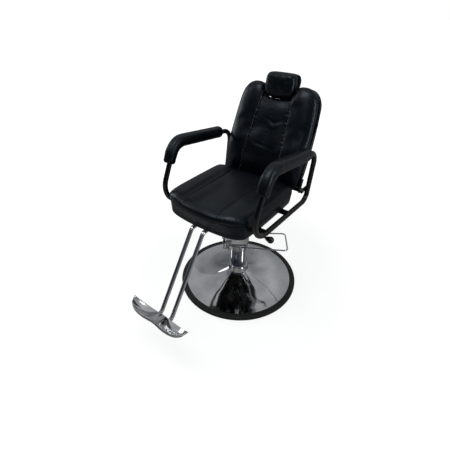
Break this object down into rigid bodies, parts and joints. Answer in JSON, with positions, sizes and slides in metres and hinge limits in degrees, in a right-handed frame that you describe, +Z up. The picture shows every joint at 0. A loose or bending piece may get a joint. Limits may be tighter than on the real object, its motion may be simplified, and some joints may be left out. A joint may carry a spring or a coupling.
{
  "type": "hydraulic barber chair",
  "caption": "Barber chair with a pump column on a round base, padded seat between tube arm loops, reclining back, sliding headrest and T footrest.",
  "frame": {"origin": "centre of the round base, on the floor", "axes": "+Z up along the column, -Y the way the seated client faces, +X the client's left"},
  "size_m": [0.6899, 1.0874, 1.12],
  "materials": {
    "chrome": "mirror chrome plate",
    "rubber": "satin black rubber",
    "black_steel": "gloss black powder coat",
    "cast": "painted casting",
    "zinc": "zinc plated",
    "steel": "bright steel",
    "bronze": "oiled bronze",
    "head_casting": "polished casting",
    "pale_aluminium": "satin, almost white",
    "cast_aluminium": "polished casting",
    "plywood": "bare plywood",
    "upholstery": "satin black vinyl over foam",
    "pad_foam": "satin black skinned foam",
    "black_plastic": "gloss black"
  },
  "bodies": {
    "base": {"base_cover": "chrome", "edge_ring": "rubber", "floor_plate": "black_steel", "column_socket": "cast", "socket_bolts": "zinc", "hub_collar": "chrome", "column_tube": "chrome", "column_gland": "steel"},
    "ram_body": {"ram": "chrome", "piston": "steel", "piston_seal": "rubber", "thrust_washer": "bronze", "ram_nut": "zinc"},
    "seat": {"pump_head": "head_casting", "guide_ring": "pale_aluminium", "valve_cap": "chrome", "lever_bracket": "steel", "lever_bolts": "zinc", "mount_plate": "black_steel", "mount_bolts": "zinc", "seat_frame": "black_steel", "seat_board": "plywood", "seat_cushion": "upholstery", "seat_brackets": "black_steel", "arm_loop_left": "black_steel", "arm_loop_right": "black_steel", "arm_pad_left": "pad_foam", "arm_pad_right": "pad_foam", "pivot_tabs": "black_steel", "pivot_bolts": "zinc", "foot_tube_left": "chrome", "foot_tube_right": "chrome", "foot_bracket": "cast_aluminium", "foot_plate": "cast_aluminium", "foot_screws": "zinc", "gas_bracket": "black_steel", "gas_pin": "zinc", "gas_cylinder": "black_steel", "release_bracket": "black_steel"},
    "lever": {"pump_lever": "chrome"},
    "plunger_body": {"plunger": "steel", "plunger_spring": "steel"},
    "gas_rod_body": {"gas_rod": "chrome"},
    "release_pin_body": {"release_pin": "steel"},
    "release": {"release_lever": "steel", "release_knob": "black_plastic"},
    "back": {"back_frame": "black_steel", "back_board": "plywood", "back_cushion": "upholstery", "back_rear_pad": "upholstery", "headrest_guides": "black_steel"},
    "headrest": {"headrest_posts": "chrome", "headrest_board": "plywood", "headrest_cushion": "upholstery", "headrest_rear_pad": "upholstery"}
  },
  "joints": [
    {"name": "lift", "type": "slide", "parent": "base", "child": "ram_body", "axis": [0, 0, 1], "range_m": [-0.125, 0.025]},
    {"name": "swivel", "type": "hinge", "parent": "ram_body", "child": "seat", "pos_m": [0, 0, 0.52], "axis": [0, 0, 1], "continuous": true},
    {"name": "pump", "type": "hinge", "parent": "seat", "child": "lever", "pos_m": [-0.04613, -0.02995, 0.268], "axis": [-0.5446, 0.8387, 0], "range_deg": [0, 20], "stiffness_Nm_per_rad": 3, "springref_deg": -34.38},
    {"name": "plunge", "type": "slide", "parent": "seat", "child": "plunger_body", "axis": [0, 0, 1], "range_m": [0, 0.012], "deforming": ["plunger_spring"]},
    {"name": "recline", "type": "hinge", "parent": "seat", "child": "back", "pos_m": [0, 0.203, 0.596], "axis": [-1, 0, 0], "range_deg": [0, 45]},
    {"name": "gas_slide", "type": "slide", "parent": "seat", "child": "gas_rod_body", "axis": [0, 1, 0], "range_m": [-0.0652, 0]},
    {"name": "release_turn", "type": "hinge", "parent": "seat", "child": "release", "pos_m": [0.128, -0.158, 0.5395], "axis": [0, -1, 0], "range_deg": [0, 6], "stiffness_Nm_per_rad": 2, "springref_deg": -8.59},
    {"name": "release_press", "type": "slide", "parent": "seat", "child": "release_pin_body", "axis": [0, 0, -1], "range_m": [0, 0.0027]},
    {"name": "headrest_slide", "type": "slide", "parent": "back", "child": "headrest", "axis": [0, 0.3746, 0.9272], "range_m": [0, 0.08]}
  ],
  "couplings": [
    {"joint": "plunge", "follows": "pump", "m_per_rad": 0.034},
    {"joint": "gas_slide", "follows": "recline", "m_per_rad": -0.08284},
    {"joint": "release_press", "follows": "release_turn", "m_per_rad": 0.025}
  ]
}
